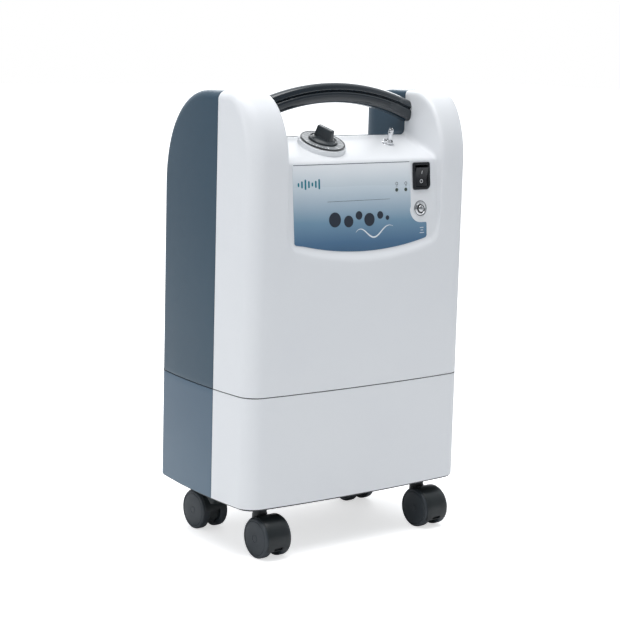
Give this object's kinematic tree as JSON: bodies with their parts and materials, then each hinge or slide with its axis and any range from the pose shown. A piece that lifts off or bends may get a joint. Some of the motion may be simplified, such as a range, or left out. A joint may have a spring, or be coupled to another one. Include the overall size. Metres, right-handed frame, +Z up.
{
  "type": "oxygen concentrator",
  "caption": "Upright floor-standing oxygen concentrator: shelled cabinet with shoulders, arched carry handle, recessed control panel, flow dial, outlet and swivel casters.",
  "frame": {"origin": "on the floor, under the middle of the overall box", "axes": "+X to the right seen from the front, -Y is the front with the controls, +Z up"},
  "size_m": [0.358, 0.2396, 0.6],
  "materials": {
    "cover_white": "light satin moulded plastic",
    "cover_slate": "slate blue moulded plastic, fine texture",
    "handle_plastic": "dark blue grey satin plastic",
    "label_film": "printed polyester film",
    "black_plastic": "black moulded plastic",
    "dial_black": "black disc with white graduations",
    "knob_plastic": "dark satin plastic",
    "lamp_lens": "tinted lamp lens",
    "chrome_ring": "bright plated ring",
    "outlet_metal": "plated outlet fitting",
    "caster_plastic": "near black caster plastic",
    "wheel_plastic": "dark grey wheel",
    "steel": "bright zinc plated steel",
    "chassis_steel": "dark painted sheet steel",
    "gasket_rubber": "soft black rubber",
    "filter_foam": "open cell filter foam",
    "tank_aluminium": "mill finish aluminium",
    "valve_brass": "machined brass",
    "copper_fins": "copper tube and fins",
    "board_green": "solder mask",
    "motor_iron": "cast compressor housing",
    "filter_white": "white filter housing",
    "hose_clear": "soft tubing"
  },
  "bodies": {
    "cabinet": {"front_cover_upper": "cover_white", "rear_cover_upper": "cover_slate", "front_cover_lower": "cover_white", "rear_cover_lower": "cover_slate", "seam_gasket": "gasket_rubber", "base_tray": "chassis_steel", "middle_deck": "chassis_steel", "cover_screws": "steel", "carry_handle": "handle_plastic", "handle_brackets": "steel", "control_label": "label_film", "switch_frame": "black_plastic", "breaker_body": "black_plastic", "breaker_nut": "chrome_ring", "indicator_lamps": "lamp_lens", "flow_valve": "valve_brass", "outlet_fitting": "outlet_metal", "outlet_nut": "outlet_metal", "power_inlet": "black_plastic", "hour_meter": "black_plastic", "exhaust_grille": "black_plastic", "filter_frame": "cover_slate", "fan_frame": "black_plastic", "sieve_beds": "tank_aluminium", "bed_caps": "motor_iron", "product_tank": "tank_aluminium", "valve_manifold": "tank_aluminium", "bacteria_filter": "filter_white", "heat_exchanger": "copper_fins", "control_board": "board_green", "intake_silencer": "black_plastic", "compressor_motor": "motor_iron", "compressor_heads": "tank_aluminium", "compressor_mounts": "gasket_rubber", "run_capacitor": "tank_aluminium", "oxygen_hose": "hose_clear", "caster_sockets": "steel"},
    "rocker": {"rocker": "black_plastic"},
    "reset_button": {"reset_button": "chrome_ring"},
    "flow_dial": {"dial_disc": "dial_black", "dial_knob": "knob_plastic"},
    "cabinet_filter": {"cabinet_filter": "filter_foam"},
    "fan_impeller": {"fan_impeller": "black_plastic"},
    "compressor_rotor": {"compressor_rotor": "steel"},
    "caster_fl": {"caster_fl_hood": "caster_plastic", "caster_fl_pins": "steel"},
    "wheel_fl_l": {"caster_fl_wheel_l": "wheel_plastic"},
    "wheel_fl_r": {"caster_fl_wheel_r": "wheel_plastic"},
    "caster_fr": {"caster_fr_hood": "caster_plastic", "caster_fr_pins": "steel"},
    "wheel_fr_l": {"caster_fr_wheel_l": "wheel_plastic"},
    "wheel_fr_r": {"caster_fr_wheel_r": "wheel_plastic"},
    "caster_rl": {"caster_rl_hood": "caster_plastic", "caster_rl_pins": "steel"},
    "wheel_rl_l": {"caster_rl_wheel_l": "wheel_plastic"},
    "wheel_rl_r": {"caster_rl_wheel_r": "wheel_plastic"},
    "caster_rr": {"caster_rr_hood": "caster_plastic", "caster_rr_pins": "steel"},
    "wheel_rr_l": {"caster_rr_wheel_l": "wheel_plastic"},
    "wheel_rr_r": {"caster_rr_wheel_r": "wheel_plastic"}
  },
  "joints": [
    {"name": "power_rocker", "type": "hinge", "parent": "cabinet", "child": "rocker", "pos_m": [0.0978, -0.0936, 0.47948], "axis": [1, 0, 0], "range_deg": [-16, 0]},
    {"name": "reset_press", "type": "slide", "parent": "cabinet", "child": "reset_button", "axis": [0, 0.9962, -0.0871], "range_m": [0, 0.0025], "stiffness_N_per_m": 600, "springref_m": -0.001},
    {"name": "flow_setting", "type": "hinge", "parent": "cabinet", "child": "flow_dial", "pos_m": [-0.038, -0.063, 0.527], "axis": [0, -0.3584, 0.9336], "range_deg": [-140, 140]},
    {"name": "filter_pull", "type": "slide", "parent": "cabinet", "child": "cabinet_filter", "axis": [0, 1, 0], "range_m": [0, 0.05]},
    {"name": "fan_spin", "type": "hinge", "parent": "cabinet", "child": "fan_impeller", "pos_m": [0.098, 0.02, 0.23], "axis": [0, 0, 1], "continuous": true},
    {"name": "compressor_spin", "type": "hinge", "parent": "cabinet", "child": "compressor_rotor", "pos_m": [0, 0, 0.138], "axis": [1, 0, 0], "continuous": true},
    {"name": "swivel_fl", "type": "hinge", "parent": "cabinet", "child": "caster_fl", "pos_m": [-0.132, -0.0744, 0.05], "axis": [0, 0, 1], "continuous": true},
    {"name": "roll_fl_l", "type": "hinge", "parent": "caster_fl", "child": "wheel_fl_l", "pos_m": [-0.132, -0.0924, 0.026], "axis": [1, 0, 0], "continuous": true},
    {"name": "roll_fl_r", "type": "hinge", "parent": "caster_fl", "child": "wheel_fl_r", "pos_m": [-0.132, -0.0924, 0.026], "axis": [1, 0, 0], "continuous": true},
    {"name": "swivel_fr", "type": "hinge", "parent": "cabinet", "child": "caster_fr", "pos_m": [0.132, -0.0744, 0.05], "axis": [0, 0, 1], "continuous": true},
    {"name": "roll_fr_l", "type": "hinge", "parent": "caster_fr", "child": "wheel_fr_l", "pos_m": [0.132, -0.0924, 0.026], "axis": [1, 0, 0], "continuous": true},
    {"name": "roll_fr_r", "type": "hinge", "parent": "caster_fr", "child": "wheel_fr_r", "pos_m": [0.132, -0.0924, 0.026], "axis": [1, 0, 0], "continuous": true},
    {"name": "swivel_rl", "type": "hinge", "parent": "cabinet", "child": "caster_rl", "pos_m": [-0.1277, 0.04, 0.05], "axis": [0, 0, 1], "continuous": true},
    {"name": "roll_rl_l", "type": "hinge", "parent": "caster_rl", "child": "wheel_rl_l", "pos_m": [-0.1277, 0.058, 0.026], "axis": [1, 0, 0], "continuous": true},
    {"name": "roll_rl_r", "type": "hinge", "parent": "caster_rl", "child": "wheel_rl_r", "pos_m": [-0.1277, 0.058, 0.026], "axis": [1, 0, 0], "continuous": true},
    {"name": "swivel_rr", "type": "hinge", "parent": "cabinet", "child": "caster_rr", "pos_m": [0.1277, 0.04, 0.05], "axis": [0, 0, 1], "continuous": true},
    {"name": "roll_rr_l", "type": "hinge", "parent": "caster_rr", "child": "wheel_rr_l", "pos_m": [0.1277, 0.058, 0.026], "axis": [1, 0, 0], "continuous": true},
    {"name": "roll_rr_r", "type": "hinge", "parent": "caster_rr", "child": "wheel_rr_r", "pos_m": [0.1277, 0.058, 0.026], "axis": [1, 0, 0], "continuous": true}
  ]
}
